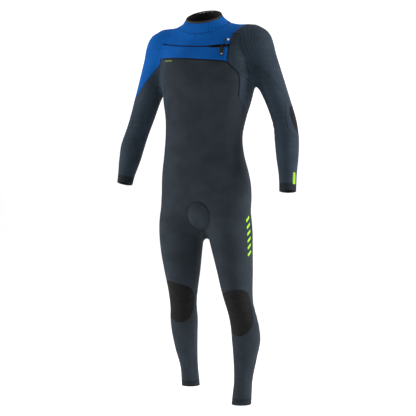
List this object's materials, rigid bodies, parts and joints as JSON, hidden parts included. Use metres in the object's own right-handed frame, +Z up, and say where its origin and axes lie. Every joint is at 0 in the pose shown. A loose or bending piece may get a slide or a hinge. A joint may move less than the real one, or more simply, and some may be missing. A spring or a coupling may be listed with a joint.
{
  "type": "full wetsuit",
  "caption": "Full-length chest-zip neoprene wetsuit: blue yoke and collar, graphite body, black knee and elbow pads, worn shape with bending knees and elbows.",
  "frame": {"origin": "middle of the neck, half-way up the collar, where the wearer's neck or a hanger holds the suit", "axes": "+Z up along the suit, the suit faces -Y, the wearer's left side is +X"},
  "size_m": [0.7016, 0.2563, 1.4578],
  "materials": {
    "blue_neoprene": "ribbed stretch jersey over neoprene foam",
    "graphite_neoprene": "fine jersey over neoprene foam",
    "ribbed_neoprene": "ribbed stretch jersey over neoprene foam",
    "pad_print": "grained abrasion print over jersey",
    "hem": "smooth taped edge",
    "binding": "bound edge",
    "seam_tape": "liquid rubber tape",
    "zip_nylon": "moulded nylon",
    "pull_webbing": "matte",
    "zip_tape": "woven tape",
    "steel": "satin",
    "cord": "braided elastic cord",
    "lime_print": "heat transfer print"
  },
  "bodies": {
    "suit_body": {"collar": "blue_neoprene", "collar_binding": "binding", "chest_yoke": "blue_neoprene", "chest_band": "blue_neoprene", "back_yoke": "blue_neoprene", "right_sleeve_cap": "blue_neoprene", "left_shoulder": "ribbed_neoprene", "right_under_sleeve": "ribbed_neoprene", "left_under_sleeve": "ribbed_neoprene", "front_body": "graphite_neoprene", "codpiece": "graphite_neoprene", "right_side_panel": "ribbed_neoprene", "left_side_panel": "ribbed_neoprene", "upper_back": "ribbed_neoprene", "seat": "graphite_neoprene", "right_thigh_back": "graphite_neoprene", "left_thigh_back": "graphite_neoprene", "zip_tape_upper": "zip_tape", "zip_tape_lower": "zip_tape", "zip_teeth": "zip_nylon", "zip_stop": "zip_nylon", "inner_seal": "graphite_neoprene", "drawcord": "cord", "seam_tape": "seam_tape", "thigh_mark": "lime_print", "chest_mark": "lime_print"},
    "right_forearm_body": {"right_elbow_sleeve": "ribbed_neoprene", "right_elbow_patch": "pad_print", "right_forearm": "ribbed_neoprene", "right_cuff": "hem"},
    "left_forearm_body": {"left_elbow_sleeve": "ribbed_neoprene", "left_elbow_patch": "pad_print", "left_forearm": "ribbed_neoprene", "left_cuff": "hem", "wrist_label": "lime_print"},
    "right_shin_body": {"right_knee_pad": "pad_print", "right_knee_back": "graphite_neoprene", "right_shin": "graphite_neoprene", "right_calf": "graphite_neoprene", "right_ankle_hem": "hem"},
    "left_shin_body": {"left_knee_pad": "pad_print", "left_knee_back": "graphite_neoprene", "left_shin": "graphite_neoprene", "left_calf": "graphite_neoprene", "left_ankle_hem": "hem"},
    "slider_body": {"zip_slider": "steel"},
    "pull_body": {"zip_pull": "pull_webbing"},
    "lock_body": {"cord_lock": "steel"}
  },
  "joints": [
    {"name": "right_elbow", "type": "hinge", "parent": "suit_body", "child": "right_forearm_body", "pos_m": [-0.2705, 0.015, -0.395], "axis": [-0.9521, 0.045, 0.3025], "range_deg": [-10, 100], "stiffness_Nm_per_rad": 3, "deforming": ["right_elbow_sleeve", "right_elbow_patch"]},
    {"name": "left_elbow", "type": "hinge", "parent": "suit_body", "child": "left_forearm_body", "pos_m": [0.3049, 0.0163, -0.4], "axis": [-0.9648, -0.039, -0.26], "range_deg": [-10, 100], "stiffness_Nm_per_rad": 3, "deforming": ["left_elbow_sleeve", "left_elbow_patch"]},
    {"name": "right_knee", "type": "hinge", "parent": "suit_body", "child": "right_shin_body", "pos_m": [-0.0962, 0.029, -1.06], "axis": [1, 0, 0], "range_deg": [-8, 100], "stiffness_Nm_per_rad": 6, "deforming": ["right_knee_pad", "right_knee_back"]},
    {"name": "left_knee", "type": "hinge", "parent": "suit_body", "child": "left_shin_body", "pos_m": [0.1536, -0.024, -1.09], "axis": [1, 0, 0], "range_deg": [-8, 100], "stiffness_Nm_per_rad": 6, "deforming": ["left_knee_pad", "left_knee_back"]},
    {"name": "zip_slide", "type": "hinge", "parent": "suit_body", "child": "slider_body", "pos_m": [0.01935, 0.22808, -0.01863], "axis": [0.0447, -0.3071, 0.9506], "range_deg": [-38, 0]},
    {"name": "pull_swing", "type": "hinge", "parent": "slider_body", "child": "pull_body", "pos_m": [0.0915, -0.06652, -0.1162], "axis": [-0.973, -0.229, -0.0282], "range_deg": [0, 135]},
    {"name": "lock_slide", "type": "slide", "parent": "suit_body", "child": "lock_body", "axis": [0.9542, 0.2981, 0.0242], "range_m": [0, 0.008]}
  ]
}
